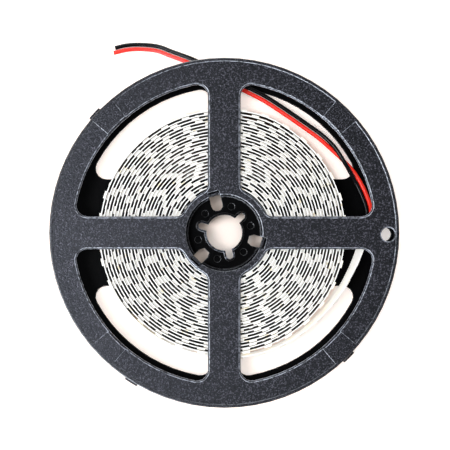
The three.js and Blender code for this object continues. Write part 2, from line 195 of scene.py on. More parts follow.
class Finish:
    """A material with one Principled shader, and the nodes that feed it."""

    def __init__(self, name, **constants):
        self.material = bpy.data.materials.new(name)
        self.material.use_nodes = True
        self.tree = self.material.node_tree
        self.shader = self.tree.nodes["Principled BSDF"]
        for socket, value in constants.items():
            self.shader.inputs[socket.replace("_", " ")].default_value = value
        coordinates = self.node("ShaderNodeTexCoord", {}, {})
        self.place = coordinates.outputs["Object"]

    def node(self, kind, settings, inputs):
        made = self.tree.nodes.new(kind)
        for key, value in settings.items():
            setattr(made, key, value)
        for key, value in inputs.items():
            self.link(made.inputs[key], value)
        return made

    def link(self, socket, value):
        if isinstance(value, Value):
            self.tree.links.new(value.socket, socket)
        elif isinstance(value, bpy.types.NodeSocket):
            self.tree.links.new(value, socket)
        else:
            socket.default_value = value

    def noise(self, grain_mm, detail=2.0, roughness=0.5):
        """Fractal noise whose grains are about grain_mm across, from 0 to 1."""
        scale = 1 / (grain_mm * MM)
        inputs = {"Vector": self.place, "Scale": scale, "Detail": detail, "Roughness": roughness}
        made = self.node("ShaderNodeTexNoise", {}, inputs)
        return Value(self, made.outputs["Fac"])

    def axis(self, letter):
        """The place along one axis, in millimetres."""
        made = self.node("ShaderNodeSeparateXYZ", {}, {"Vector": self.place})
        return Value(self, made.outputs[letter]) / MM

    def along_strip(self):
        """The distance that the ribbon's points carry, in millimetres."""
        made = self.node("ShaderNodeAttribute", {"attribute_name": "along"}, {})
        return Value(self, made.outputs["Fac"])

    def from_axis(self):
        """The distance from the reel's axis, in millimetres."""
        plan = self.node("ShaderNodeVectorMath", {"operation": "MULTIPLY"}, {0: self.place, 1: (1, 1, 0)})
        made = self.node("ShaderNodeVectorMath", {"operation": "LENGTH"}, {0: plan.outputs[0]})
        return Value(self, made.outputs["Value"]) / MM

    def step(self, value, low, high):
        """0 below low, 1 above high, smooth between."""
        made = self.node(
            "ShaderNodeMapRange",
            {"interpolation_type": "SMOOTHSTEP"},
            {"Value": value, "From Min": low, "From Max": high},
        )
        return Value(self, made.outputs[0])

    def mix(self, factor, first, second):
        made = self.node("ShaderNodeMix", {"data_type": "RGBA"}, {0: factor, 6: first, 7: second})
        return made.outputs[2]

    def bump(self, height, depth_mm, strength=1.0):
        made = self.node(
            "ShaderNodeBump", {}, {"Height": height, "Distance": depth_mm * MM, "Strength": strength}
        )
        self.link(self.shader.inputs["Normal"], made.outputs[0])

    def feed(self, **inputs):
        for socket, value in inputs.items():
            self.link(self.shader.inputs[socket.replace("_", " ")], value)


def colour(red, green, blue):
    return (red, green, blue, 1.0)


# %% [markdown]
# ## The sheaths of the leads
#
# Soft vinyl is nearly smooth, with a slow drift in its gloss where fingers have handled
# it, and a very fine draw texture from the die that it was pulled through. A coarse noise
# gives the drift and a fine one the texture. The two share a function, and each gives it
# its own pair of colours, because the black one has a smoother skin and throws back less.


# %% Lead sheaths
def sheath(name, deep, fresh, gloss, shine):
    finish = Finish(name, Specular_IOR_Level=shine)
    drift = finish.noise(6, detail=3)
    fine = finish.noise(0.25, detail=1)
    finish.feed(
        Base_Color=finish.mix(drift, deep, fresh),
        Roughness=gloss + 0.12 * drift + 0.05 * fine,
    )
    finish.bump(fine, 0.01, 0.4)
    return finish.material


red_vinyl = sheath("red_vinyl", colour(0.88, 0.008, 0.002), colour(1.0, 0.030, 0.008), 0.30, 0.3)
black_vinyl = sheath("black_vinyl", colour(0.002, 0.002, 0.002), colour(0.004, 0.004, 0.005), 0.15, 0.12)

# %% [markdown]
# ## The leads
#
# Each lead is one wire of fixed length, from its solder joint to its cut end. The pair
# twists once on its way round the reel: black crosses over red on the right, lies outside
# it under the top of the rim, and both drop over the edge onto the table. The route's
# points are those of the solid model: direction in degrees, distance from the axis and
# height in millimetres, roll of the pair, and the distance between the two wires.

# %% The leads' route
PADS = 3.8
PAIR = 1.7
LEAD_STAGGER = 0.9
LEAD_DIAMETER = 1.6
lead_route = [
    (357.9, 53.0, 6.0, 90, PADS),
    (1.2, 53.4, 5.8, 80, 2.8),
    (5.0, 54.0, 5.0, 50, 2.0),
    (9.5, 54.4, 4.1, 20, PAIR),
    (15.0, 53.9, 3.3, 0, PAIR),
    (21.0, 53.2, 2.9, -15, PAIR),
    (26.5, 52.5, 3.2, -50, PAIR),
    (32.0, 51.8, 3.5, -90, PAIR),
    (38.0, 51.3, 3.3, -140, PAIR),
    (45.0, 50.7, 3.0, -175, PAIR),
    (52.0, 50.1, 2.9, -180, PAIR),
    (60.0, 50.2, 2.9, -180, PAIR),
    (67.0, 51.0, 2.9, -180, PAIR),
    (73.5, 52.3, 2.9, -180, PAIR),
    (80.0, 53.8, 2.9, -180, PAIR),
    (85.5, 55.6, 2.8, -180, PAIR),
    (91.0, 58.2, 2.8, -180, PAIR),
    (96.0, 61.3, 2.8, -180, PAIR),
    (100.1, 64.6, 2.8, -180, PAIR),
    (103.5, 67.2, 2.5, -180, PAIR),
    (106.8, 70.1, 1.7, -180, PAIR),
    (110.0, 73.4, 1.0, -180, PAIR),
    (114.1, 76.3, 0.9, -180, PAIR),
    (117.7, 78.4, 0.9, -180, PAIR),
    (121.1, 79.8, 0.9, -180, PAIR),
]


def lead_points(side):
    """Points of one lead in metres: side is 1 for red and -1 for black."""
    centres = []
    for degrees, distance, height, _, _ in lead_route:
        angle = math.radians(degrees)
        centres.append(Vector((distance * math.cos(angle), distance * math.sin(angle), height)))
    points = []
    for i, centre in enumerate(centres):
        forward = centres[min(i + 1, len(centres) - 1)] - centres[max(i - 1, 0)]
        forward.z = 0
        outward = forward.normalized().cross(Vector((0, 0, 1)))
        roll = math.radians(lead_route[i][3])
        half = side * lead_route[i][4] / 2
        points.append(
            (centre + outward * half * math.cos(roll) + Vector((0, 0, half * math.sin(roll)))) * MM
        )
    way = (points[-1] - points[-2]).normalized()
    points[-1] += way * side * LEAD_STAGGER / 2 * MM
    return points


# %% Drawing a lead as a curve
def make_lead(name, side, material, node):
    """One lead as a round curve through its points, with its length."""
    points = lead_points(side)
    bpy.ops.curve.primitive_bezier_curve_add(enter_editmode=False)
    lead = named(name, material)
    lead.location = (0, 0, 0)
    spline = lead.data.splines[0]
    spline.bezier_points.add(len(points) - len(spline.bezier_points))
    for i, point in enumerate(points):
        before = points[max(i - 1, 0)]
        after = points[min(i + 1, len(points) - 1)]
        handle = (after - before) / 6
        knot = spline.bezier_points[i]
        knot.handle_left_type = knot.handle_right_type = "FREE"
        knot.co = point
        knot.handle_left = point - handle
        knot.handle_right = point + handle
    spline.resolution_u = 8
    lead.data.dimensions = "3D"
    lead.data.bevel_depth = LEAD_DIAMETER / 2 * MM
    lead.data.bevel_resolution = 4
    lead.data.use_fill_caps = True
    length = spline.calc_length()
    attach(lead, "root")
    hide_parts(node)
    print(name, "is", round(length / MM, 1), "mm long")
    return lead, points, length


red_lead, red_points, red_length = make_lead("red_lead_wire", 1, red_vinyl, "red_lead")
black_lead, black_points, black_length = make_lead("black_lead_wire", -1, black_vinyl, "black_lead")

# %% [markdown]
# ## The strip's path
#
# The strip is wound from the hub outwards, leaning a little to one side, for 24.5 turns.
# Its free end springs away from the roll and swings out to the solder pads. One function
# gives the distance of its inner face from the axis at any angle, so that the ribbon, the
# leds and the resistors all follow the same path. The last turns also bulge a little at
# the upper right, where the real roll has loosened.

# %% The strip's path
STRIP_WIDTH = 8
STRIP_THICKNESS = 0.4
LED_HEIGHT = 0.79
LED_LENGTH = 2.8
LED_PITCH = 25 / 3
ROLL_INNER = 16.1
ROLL_ANGLE = 2 * math.pi * 24.5
ROLL_LEAN = 0.45
START_DIRECTION = math.radians(262) - ROLL_ANGLE
TAIL_DEGREES = 96
END_ANGLE = ROLL_ANGLE + math.radians(TAIL_DEGREES)
STRIP_CENTRE = reel_width / MM / 2
TURN_PITCH = STRIP_THICKNESS + LED_HEIGHT
ROLL_LENGTH = 4690
LAST_TURN = 290
LED_GAP_LEAST = 1.5
BARE_END = 4
SPRING_OUT = 1.1
SPRING_DEGREES = 18
SWING_OUT = 5.6
LEAN_AT_END = math.radians(13)
LEAN_FROM = 35
BULGE_OUT = 0.5
BULGE_FROM = 50
BULGE_TO = 92
TURN_SLIPS = (
    4.9, 4.9, 4.4, 6.4, 6.6, 7.7, 1.9, 3.7, 4.8, 7.9, 1.5, 3.2, 7, 0.5, 1.2, 4.4, 4.8, 0.7, 0.7,
    3.7, 3.4, 5.9, 5.1, 6, 3.7,
)


def bulge(angle):
    """How far the last turns have loosened outwards, in millimetres."""
    turns_left = (ROLL_ANGLE - angle) / (2 * math.pi)
    if not -0.3 < turns_left < 1.9:
        return 0
    direction = math.degrees(START_DIRECTION + angle) % 360
    if not BULGE_FROM < direction < BULGE_TO:
        return 0
    share = 1 if turns_left < 1 else 0.55
    across = (direction - BULGE_FROM) / (BULGE_TO - BULGE_FROM)
    return BULGE_OUT * share * math.sin(math.radians(across * 180)) ** 2


def strip_radius(angle):
    """Distance of the strip's inner face from the axis, in millimetres."""
    on_roll = min(angle, ROLL_ANGLE)
    lean = -ROLL_LEAN * on_roll / ROLL_ANGLE * math.cos(START_DIRECTION + angle)
    past = math.degrees(angle - on_roll)
    spring = SPRING_OUT * (1 - math.exp(-past / SPRING_DEGREES))
    swing = SWING_OUT * (past / TAIL_DEGREES) ** 4
    coil = TURN_PITCH * on_roll / (2 * math.pi)
    return ROLL_INNER + coil + lean + spring + swing + bulge(angle)


def along(angle, length):
    """The angle that lies a length further along the strip."""
    middle = strip_radius(angle + length / (2 * strip_radius(angle)))
    return angle + length / (middle + STRIP_THICKNESS)


def tilt(angle):
    """Lean of the strip's top edge outwards: the free end falls open towards its pads."""
    past = math.degrees(max(0, angle - ROLL_ANGLE))
    return LEAN_AT_END * (max(0, past - LEAN_FROM) / (TAIL_DEGREES - LEAN_FROM)) ** 1.3


def strip_frame(angle, offset):
    """Matrix of a point on the strip: X outwards, Y along it, Z across it."""
    direction = START_DIRECTION + angle
    radius = strip_radius(angle)
    foot = Matrix.Translation((radius * math.cos(direction), radius * math.sin(direction), STRIP_CENTRE))
    slope = (strip_radius(angle + 0.01) - strip_radius(angle - 0.01)) / 0.02 / radius
    turn = Matrix.Rotation(direction - math.atan(slope), 4, "Z") @ Matrix.Rotation(tilt(angle), 4, "Y")
    return Matrix.Scale(MM, 4) @ foot @ turn @ Matrix.Translation((offset, 0, 0))


# %% [markdown]
# ## The ribbon's finishes
#
# From above only the ribbon's upper edge shows, cut through white coating, and here and
# there stained cream. Its front carries the white coating, with a pair of bare copper pads
# at each place where the strip may be cut. Its back is cream tape with a woven look. The
# pads come from the distance along the strip, so they stay put however it is wound. Hardly
# any light gets down between the turns. Tracing that would take many bounces, so the lower
# part of the hidden faces is painted near black, as painted shade, apart from the last turn
# and the free end. The back of the free end is painted whiter than the wound tape, with a
# faint glow, as painted light.

# %% The white cut edge
edge_white = Finish("strip_edge")
fleck = edge_white.noise(0.6, detail=2)
edge_white.feed(
    Base_Color=edge_white.mix(
        edge_white.step(edge_white.noise(5, detail=3, roughness=0.6), 0.60, 0.68),
        edge_white.mix(fleck, colour(0.94, 0.935, 0.91), colour(0.98, 0.98, 0.96)),
        colour(0.90, 0.80, 0.58),
    ),
    Roughness=0.45 + 0.2 * fleck,
)
edge_white.bump(fleck, 0.02, 0.4)

# %% The coated front, with its copper pads
PAD_EVERY = 25.0
PAD_LENGTH = 3.1
PAD_WIDTH = 1.9
DARK_BELOW = 8.8
LIGHT_ABOVE = 9.9

mask_white = Finish("strip_front", Specular_IOR_Level=0.1)
distance = mask_white.along_strip()
height = mask_white.axis("Z")
cut = (distance % PAD_EVERY - PAD_EVERY / 2).size()
across = ((height - STRIP_CENTRE).size() - PADS / 2).size()
pad_ends = mask_white.step(cut, PAD_LENGTH / 2 - 0.05, PAD_LENGTH / 2 + 0.05)
pad_sides = mask_white.step(across, PAD_WIDTH / 2 - 0.05, PAD_WIDTH / 2 + 0.05)
pad = (1 - pad_ends) * (1 - pad_sides)
dull = mask_white.noise(1.5, detail=3)
# Painted shade: inside the roll the lower part of the front is painted near black, where little light
# gets down between the turns.
deep = (1 - mask_white.step(height, DARK_BELOW, LIGHT_ABOVE)) * (distance < ROLL_LENGTH - LAST_TURN)
mask_white.feed(
    Base_Color=mask_white.mix(
        deep,
        mask_white.mix(
            pad,
            mask_white.mix(dull, colour(0.80, 0.79, 0.75), colour(0.88, 0.87, 0.84)),
            colour(0.72, 0.43, 0.26),
        ),
        colour(0.004, 0.003, 0.003),
    ),
    Metallic=pad * (1 - deep),
    Roughness=0.42 + 0.15 * dull - 0.15 * pad,
)
mask_white.bump(1 - pad, 0.03, 0.6)

# %% The taped back
# Painted shade and painted light: inside the roll the lower part of the back is painted near black with
# dark brown patches, and the free end is painted whiter than the wound tape, with a faint glow.
tape = Finish("strip_back", Specular_IOR_Level=0.2, Emission_Strength=0.25)
weave = tape.noise(0.5, detail=2)
since = tape.along_strip()
free_end = tape.step(since, ROLL_LENGTH, ROLL_LENGTH + 25)
buried = (1 - tape.step(tape.axis("Z"), DARK_BELOW, LIGHT_ABOVE)) * (since < ROLL_LENGTH)
tape.feed(
    Base_Color=tape.mix(
        buried,
        tape.mix(
            free_end,
            tape.mix(weave, colour(0.80, 0.70, 0.50), colour(0.88, 0.80, 0.64)),
            tape.mix(weave, colour(0.94, 0.93, 0.90), colour(0.98, 0.97, 0.95)),
        ),
        tape.mix(
            tape.step(tape.noise(6, detail=2), 0.50, 0.62),
            colour(0.004, 0.003, 0.003),
            colour(0.05, 0.018, 0.008),
        ),
    ),
    Emission_Color=tape.mix(free_end, colour(0, 0, 0), colour(1.0, 0.99, 0.97)),
    Roughness=0.55 + 0.2 * weave,
)
tape.bump(weave, 0.02, 0.5)

# %% [markdown]
# ## The ribbon
#
# The strip's carrier is a flexible circuit with tape on its back, 0.4 mm thick. A curve
# drawn flat along the path and given a height is a ribbon. It becomes a mesh, its free end
# is leaned over, and Solidify gives it its thickness, with other materials on the back,
# the front and the cut edges. Each point keeps its distance along the strip, so that the
# finish can repeat the solder pads every 25 mm.


# %% The ribbon itself
def ribbon_angles():
    """Even steps of about four degrees along the whole path."""
    step = math.radians(4)
    count = math.ceil(END_ANGLE / step)
    return [END_ANGLE * i / count for i in range(count + 1)]


angles = ribbon_angles()
bpy.ops.curve.primitive_bezier_curve_add()
ribbon = named("strip_ribbon")
ribbon.location = (0, 0, 0)
ribbon.data.dimensions = "2D"
ribbon.data.fill_mode = "NONE"
ribbon.data.splines.clear()
line = ribbon.data.splines.new("POLY")
line.points.add(len(angles) - 1)
spots = KDTree(len(angles))
distances = []
travelled = 0.0
for i, angle in enumerate(angles):
    direction = START_DIRECTION + angle
    radius = strip_radius(angle) * MM
    x, y = radius * math.cos(direction), radius * math.sin(direction)
    if i:
        travelled += math.dist((x, y), last_spot) / MM
    last_spot = (x, y)
    line.points[i].co = (x, y, 0, 1)
    spots.insert((x, y, 0), i)
    distances.append(travelled)
spots.balance()
ribbon.data.extrude = STRIP_WIDTH / 2 * MM
pick(ribbon)
bpy.ops.object.convert(target="MESH")
ribbon = bpy.context.active_object
print("strip length:", round(travelled), "mm,", len(ribbon.data.vertices), "points")

# %% Leaning the free end over, and giving the ribbon its thickness
marks = ribbon.data.attributes.new("along", "FLOAT", "POINT")
for vertex in ribbon.data.vertices:
    nearest = spots.find((vertex.co.x, vertex.co.y, 0))[1]
    marks.data[vertex.index].value = distances[nearest]
    lean = tilt(angles[nearest])
    side = vertex.co.z
    outward = Vector((vertex.co.x, vertex.co.y, 0)).normalized()
    vertex.co += outward * side * math.sin(lean)
    vertex.co.z = STRIP_CENTRE * MM + side * math.cos(lean)
ribbon.data.materials.clear()
for finish in (tape, mask_white, edge_white):
    ribbon.data.materials.append(finish.material)
middle = ribbon.data.polygons[len(ribbon.data.polygons) // 2]
if middle.normal.dot(middle.center * Vector((1, 1, 0))) < 0:
    edit_faces(ribbon, lambda face: True)
    bpy.ops.mesh.flip_normals()
    leave_edit()
middle = ribbon.data.polygons[len(ribbon.data.polygons) // 2]
print("ribbon faces outwards:", middle.normal.dot(middle.center * Vector((1, 1, 0))) > 0)
for face in ribbon.data.polygons:
    face.material_index = 1
wall = ribbon.modifiers.new("thickness", "SOLIDIFY")
wall.thickness = STRIP_THICKNESS * MM
wall.offset = 1
wall.material_offset = -1
wall.material_offset_rim = 1
apply_modifiers(ribbon)
pick(ribbon)
bpy.ops.object.shade_smooth_by_angle(angle=math.radians(30))
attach(ribbon, "root")
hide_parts("led_strip")

# %% [markdown]
# ## The leds
#
# Each led is a low white moulding, 2.8 mm along the strip, with a yellow window sunk in
# its face and a bright terminal at each end. It is made once: a cube, inset on its outer
# face, pushed in for the window, and two stepped tabs added. Then it is copied to every
# place along the strip, and the copies become one piece. With hundreds of leds, each keeps
# to a few dozen faces. The wound leds glow faintly, in place of the light that would reach
# them through the white plastic of their neighbours.

# %% Finishes of the leds
led_body = Finish("led_moulding", Emission_Strength=0.5)
shade = led_body.noise(0.8, detail=2)
wound = 1 - led_body.step(led_body.from_axis(), 44.5, 47.0)
led_body.feed(
    Base_Color=led_body.mix(shade, colour(0.84, 0.81, 0.72), colour(0.93, 0.92, 0.88)),
    Emission_Color=led_body.mix(wound, colour(0, 0, 0), colour(1.0, 0.97, 0.90)),
    Roughness=0.35 + 0.2 * shade,
)
led_body.bump(shade, 0.01, 0.3)

phosphor = Finish("led_phosphor", Coat_Weight=0.5, Coat_Roughness=0.1)
cloud = phosphor.noise(0.4, detail=2)
phosphor.feed(
    Base_Color=phosphor.mix(cloud, colour(0.80, 0.56, 0.09), colour(0.88, 0.70, 0.20)),
    Roughness=0.3 + 0.1 * cloud,
)

tin = Finish("tinned_metal", Metallic=1.0)
dimple = tin.noise(0.3, detail=2)
tin.feed(
    Base_Color=tin.mix(dimple, colour(0.55, 0.55, 0.54), colour(0.78, 0.78, 0.77)),
    Roughness=0.18 + 0.25 * dimple,
)
tin.bump(dimple, 0.04, 0.6)

# %% One led
LED_WIDTH = 3.5
LED_WALL = 0.28
WINDOW_SUNK = 0.12
WINDOW_RIM = 0.10
TAB_SIZE = (0.2, 0.16, 2.4)
TAB_STEP = 0.08
TAB_INSET = 0.04
bpy.ops.mesh.primitive_cube_add(size=1, location=(LED_HEIGHT / 2, 0, 0))
led = named("led_pattern", led_body.material)
led.scale = (LED_HEIGHT, LED_LENGTH, LED_WIDTH)
led.data.materials.append(phosphor.material)
led.data.materials.append(tin.material)
settle(led)
edit_faces(led, lambda face: face.normal.x > 0.9)
bpy.ops.mesh.inset(thickness=LED_WALL)
bpy.ops.mesh.extrude_region_move(TRANSFORM_OT_translate={"value": (-WINDOW_SUNK, 0, 0)})
led.active_material_index = 1
bpy.ops.object.material_slot_assign()
bpy.ops.mesh.inset(thickness=WINDOW_RIM)
leave_edit()
for end in (-1, 1):
    tab_place = (TAB_SIZE[0] / 2, end * (LED_LENGTH + TAB_SIZE[1]) / 2, 0)
    bpy.ops.mesh.primitive_cube_add(size=1, location=tab_place)
    tab = named("led_tab", tin.material)
    tab.scale = TAB_SIZE
    settle(tab)
    edit_faces(tab, lambda face: face.normal.y * end > 0.9)
    bpy.ops.mesh.inset(thickness=TAB_INSET)
    bpy.ops.mesh.extrude_region_move(TRANSFORM_OT_translate={"value": (0, end * TAB_STEP, 0)})
    leave_edit()
    pick(led, tab)
    bpy.ops.object.join()
    led = bpy.context.active_object
pick(led)
bpy.ops.object.shade_smooth_by_angle(angle=math.radians(30))
print("one led:", len(led.data.polygons), "faces")


# %% Copies along the strip
def turn_at(angle):
    """Number of the turn at an angle. Turns change over under the top spoke."""
    turn = math.floor((START_DIRECTION + angle) / (2 * math.pi) - 0.25) + 24
    return min(max(turn, 0), len(TURN_SLIPS) - 1)


def led_angles():
    """Where each led starts. The leds of each turn lie a slip past an even pitch."""
    last = END_ANGLE - BARE_END / strip_radius(END_ANGLE)
    found, even = [], 0.0
    while even < last:
        turn = turn_at(even)
        for near in (turn, turn + 1):
            start = along(even, TURN_SLIPS[min(near, len(TURN_SLIPS) - 1)])
            free = not found or start > along(found[-1], LED_LENGTH + LED_GAP_LEAST)
            if turn_at(start) == near and free and along(start, LED_LENGTH) < last:
                found.append(start)
        even = along(even, LED_PITCH)
    return found


def scatter(pattern, places, name):
    """One piece from a copy of the pattern at each place."""
    copies = []
    for place in places:
        mesh = pattern.data.copy()
        mesh.transform(place)
        copy = bpy.data.objects.new(name, mesh)
        bpy.context.scene.collection.objects.link(copy)
        copies.append(copy)
    bpy.data.objects.remove(pattern)
    pick(*copies)
    bpy.ops.object.join()
    piece = bpy.context.active_object
    piece.name = name
    piece.data.name = name
    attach(piece, "root")
    print(name, "has", len(places), "copies and", len(piece.data.polygons), "faces")
    return piece


starts = led_angles()
led_places = [strip_frame(along(a, LED_LENGTH / 2), STRIP_THICKNESS) for a in starts]
leds = scatter(led, led_places, "strip_leds")
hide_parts("led_strip")

# %% [markdown]
# ## The resistors
#
# Three leds share a resistor, so every third gap holds one: a tiny white ceramic chip that
# stands across the strip, with a black coat on its outer face. A cube is cut twice, its
# middle takes the coat, and its ends are fattened a little, as plating makes them.

# %% Resistors
CHIP_SIZE = (0.48, 1.25, 2.0)
CHIP_COAT = 0.62
CHIP_PLATING = 0.03
chip_black = Finish("chip_resistor")
matt = chip_black.noise(0.3, detail=2)
chip_black.feed(
    Base_Color=chip_black.mix(matt, colour(0.012, 0.012, 0.013), colour(0.03, 0.03, 0.032)),
    Roughness=0.35 + 0.2 * matt,
)
# Painted light: the white ceramic glows faintly, in place of light that hardly reaches down between the
# turns.
ceramic = Finish("chip_ceramic", Emission_Strength=0.25)
bisque = ceramic.noise(0.5, detail=2)
ceramic.feed(
    Base_Color=ceramic.mix(bisque, colour(0.80, 0.78, 0.72), colour(0.93, 0.92, 0.88)),
    Emission_Color=ceramic.mix(bisque, colour(0.8, 0.78, 0.7), colour(1.0, 0.97, 0.90)),
    Roughness=0.5 + 0.2 * bisque,
)
bpy.ops.mesh.primitive_cube_add(size=1, location=(CHIP_SIZE[0] / 2, 0, 0))
resistor = named("resistor_pattern", ceramic.material)
resistor.data.materials.append(chip_black.material)
resistor.scale = CHIP_SIZE
settle(resistor)
edit_faces(resistor, lambda face: True)
for cut_at in (-CHIP_COAT, CHIP_COAT):
    bpy.ops.mesh.select_all(action="SELECT")
    bpy.ops.mesh.bisect(plane_co=(0, 0, cut_at), plane_no=(0, 0, 1))
leave_edit()
edit_faces(resistor, lambda face: face.normal.x > 0.9 and abs(face.calc_center_median().z) < CHIP_COAT)
resistor.active_material_index = 1
bpy.ops.object.material_slot_assign()
leave_edit()
edit_faces(resistor, lambda face: abs(face.calc_center_median().z) > CHIP_COAT)
bpy.ops.mesh.extrude_region_shrink_fatten(TRANSFORM_OT_shrink_fatten={"value": CHIP_PLATING})
leave_edit()
gap_middle = LED_LENGTH + (LED_PITCH - LED_LENGTH) / 2
chip_places = [strip_frame(along(a, gap_middle), STRIP_THICKNESS) for a in starts[1:-1:3]]
resistors = scatter(resistor, chip_places, "strip_resistors")
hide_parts("led_strip")

# %% [markdown]
# ## Solder joints and bare wire tips
#
# A hand-made joint is a low dome on the pad, with the end of the wire sunk in it. A sphere
# is squashed, its underside is cut off, its skirt is spread a little where the solder has
# wetted the pad, and a subdivision smooths it.

# %% Solder joints
DOME_RADIUS = 1.15
DOME_SQUASH = (0.62, 1.0, 0.9)
DOME_CUT = -0.12
DOME_SKIRT = 1.12
SKIRT_BELOW = -0.02
DOME_LIFT = 0.1
PAD_FROM_END = 1.7
pad_angle = END_ANGLE - PAD_FROM_END / strip_radius(END_ANGLE)


def solder_joint(name, side, node):
    """A dome on one of the last two pads: side is 1 for red and -1 for black."""
    bpy.ops.mesh.primitive_uv_sphere_add(segments=20, ring_count=12, radius=DOME_RADIUS)
    joint = named(name, tin.material)
    joint.scale = DOME_SQUASH
    settle(joint)
    edit_faces(joint, lambda face: True)
    bpy.ops.mesh.bisect(plane_co=(DOME_CUT, 0, 0), plane_no=(1, 0, 0), clear_inner=True, use_fill=True)
    leave_edit()
    edit_faces(joint, lambda face: face.calc_center_median().x < SKIRT_BELOW)
    bpy.ops.transform.resize(value=(1, DOME_SKIRT, DOME_SKIRT))
    leave_edit()
    place = strip_frame(pad_angle, STRIP_THICKNESS + DOME_LIFT)
    joint.data.transform(place @ Matrix.Translation((0, 0, side * PADS / 2)))
    joint.data.update()
    smooth = joint.modifiers.new("smooth", "SUBSURF")
    smooth.levels = smooth.render_levels = 1
    apply_modifiers(joint)
    pick(joint)
    bpy.ops.object.shade_smooth_by_angle(angle=math.radians(50))
    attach(joint, "root")
    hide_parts(node)
    print(name, "has", len(joint.data.polygons), "faces")


solder_joint("red_solder", 1, "red_solder_joint")
solder_joint("black_solder", -1, "black_solder_joint")

# %% [markdown]
# ## The cut ends
#
# Each lead is cut straight across, so its end shows a few copper strands in the sheath.
# One strand is a short cylinder with its rim broken. Seven of them make the core, one in
# the middle and six round it, none cut quite to the same length.

# %% Copper cores
STRAND_RADIUS = 0.13
STRAND_LENGTH = 0.3
STRAND_RING = 0.27
STRAND_SUNK = 0.08
STRAND_CORNER = 0.03
STRAND_UNEVEN = 0.03
copper = Finish("bare_copper", Metallic=1.0)
tarnish = copper.noise(0.4, detail=3)
copper.feed(
    Base_Color=copper.mix(tarnish, colour(0.62, 0.28, 0.14), colour(0.86, 0.50, 0.33)),
    Roughness=0.25 + 0.2 * tarnish,
)


def copper_core(name, points):
    """Seven strands at the cut end of a lead that runs through these points."""
    end, before = points[-1], points[-2]
    way = (end - before).normalized()
    bpy.ops.mesh.primitive_cylinder_add(vertices=10, radius=STRAND_RADIUS, depth=STRAND_LENGTH)
    strand = named(name + "_strand", copper.material)
    edit_faces(strand, lambda face: face.normal.z > 0.9)
    bpy.ops.mesh.bevel(offset=STRAND_CORNER, segments=1)
    leave_edit()
    turn = way.to_track_quat("Z", "Y").to_matrix().to_4x4()
    places = []
    for i in range(7):
        ring = 0 if i == 0 else STRAND_RING
        spin = math.radians(60 * i)
        nudge = STRAND_UNEVEN * math.sin(2.1 * i)
        spot = Vector((ring * math.cos(spin), ring * math.sin(spin), nudge - STRAND_SUNK))
        places.append(Matrix.Translation(end) @ turn @ Matrix.Scale(MM, 4) @ Matrix.Translation(spot))
    return scatter(strand, places, name)


red_core = copper_core("red_copper_core", red_points)
black_core = copper_core("black_copper_core", black_points)

# %% [markdown]
# ## The two mouldings
#
# The reel halves keep the solid model's shape. What a moulding adds is broken edges: a
# small radius on every corner is what catches the light. A copy of each node is merged,
# its flat faces are joined up, and a bevel rounds its edges, less wide where a face beside
# an edge is narrow.
#
# Their plastic has three finishes. The outer faces were moulded against a spark-eroded
# tool, so they are charcoal with a fine, dense speckle that glints where the light is
# reflected. The speckle is two noises, one in the gloss and one in the colour as well. The
# rounded corners carry painted highlights in patches, in a finish of their own. The hub's
# floor and the inner faces are smooth, and painted near black and dull, darker than the
# outer plastic, as painted shade, since they face only each other.

# %% Charcoal plastic
charcoal = Finish(
    "charcoal_plastic", Specular_IOR_Level=0.23, Specular_Tint=colour(0.86, 0.88, 1.0)
)
grain = charcoal.step(charcoal.noise(0.9, detail=2, roughness=0.7), 0.36, 0.64)
cloudy = charcoal.noise(9, detail=2)
fleck = charcoal.step(charcoal.noise(0.5, detail=1, roughness=0.6), 0.55, 0.64)
charcoal.feed(
    Base_Color=charcoal.mix(
        fleck * 0.55,
        charcoal.mix(grain, colour(0.001, 0.001, 0.001), colour(0.005, 0.005, 0.006)),
        colour(0.12, 0.12, 0.15),
    ),
    Roughness=0.32 + 0.14 * grain + 0.05 * cloudy - 0.18 * fleck,
)
charcoal.bump(grain + 0.8 * fleck, 0.06, 0.7)

# %% Painted highlights on the rounded corners
# Painted highlights: the rounded corners are painted light in patches, only on some sides, as the
# highlights fall.
broken = Finish("broken_edge_painted_highlight", Specular_IOR_Level=0.5)
highlight_patches = broken.step(broken.noise(1.2, detail=3, roughness=0.6), 0.35, 0.62)
from_middle = (broken.axis("Z") - STRIP_CENTRE).size()
reach = broken.from_axis()
inside_rim = 1 - broken.step(reach, 63.2, 63.4)
upper_right = (broken.axis("X") * 0.6 + broken.axis("Y") * 0.8) / reach
round_edges = (1 - broken.step(reach, 15.0, 15.8)) + broken.step(reach, 61.5, 62.0)
shaded_round_edges = round_edges * (1 - broken.step(upper_right, 0.1, 0.6)) * 0.8
outer_edge_highlight = broken.step(from_middle, 4.6, 5.0) * inside_rim * (1 - shaded_round_edges)
near_bore = (1 - broken.step(reach, 9.5, 10)) * broken.step(from_middle, 1.9, 2.1)
collar_highlight = near_bore * broken.step(0 - upper_right, 0, 0.5)
broken.feed(
    Base_Color=broken.mix(
        outer_edge_highlight + collar_highlight,
        colour(0.008, 0.008, 0.009),
        broken.mix(highlight_patches, colour(0.05, 0.055, 0.065), colour(0.36, 0.39, 0.46)),
    ),
    Roughness=0.25 + 0.15 * highlight_patches,
)
broken.bump(highlight_patches, 0.03, 0.5)

# %% Smooth black plastic, painted dark as shade
# Painted shade: the hub's floor and the inner faces are painted near black and dull, darker than the
# outer plastic, since they face only each other.
shaded_black = Finish("smooth_black_painted_shade", Specular_IOR_Level=0.02)
haze = shaded_black.noise(1.2, detail=3)
shaded_black.feed(
    Base_Color=shaded_black.mix(haze, colour(0.0004, 0.0004, 0.0005), colour(0.0015, 0.0015, 0.0018)),
    Roughness=0.48 + 0.16 * haze,
)
shaded_black.bump(haze, 0.01, 0.3)

# %% A moulding from a node of the solid model
BROKEN_EDGE = 0.16
SHARP = math.radians(28)
GRAINED_SLOT = 1
BROKEN_SLOT = 2


def edge_room(edge):
    """How wide the narrower of an edge's two faces is, in millimetres."""
    return min(face.calc_area() for face in edge.link_faces) / edge.calc_length() / MM


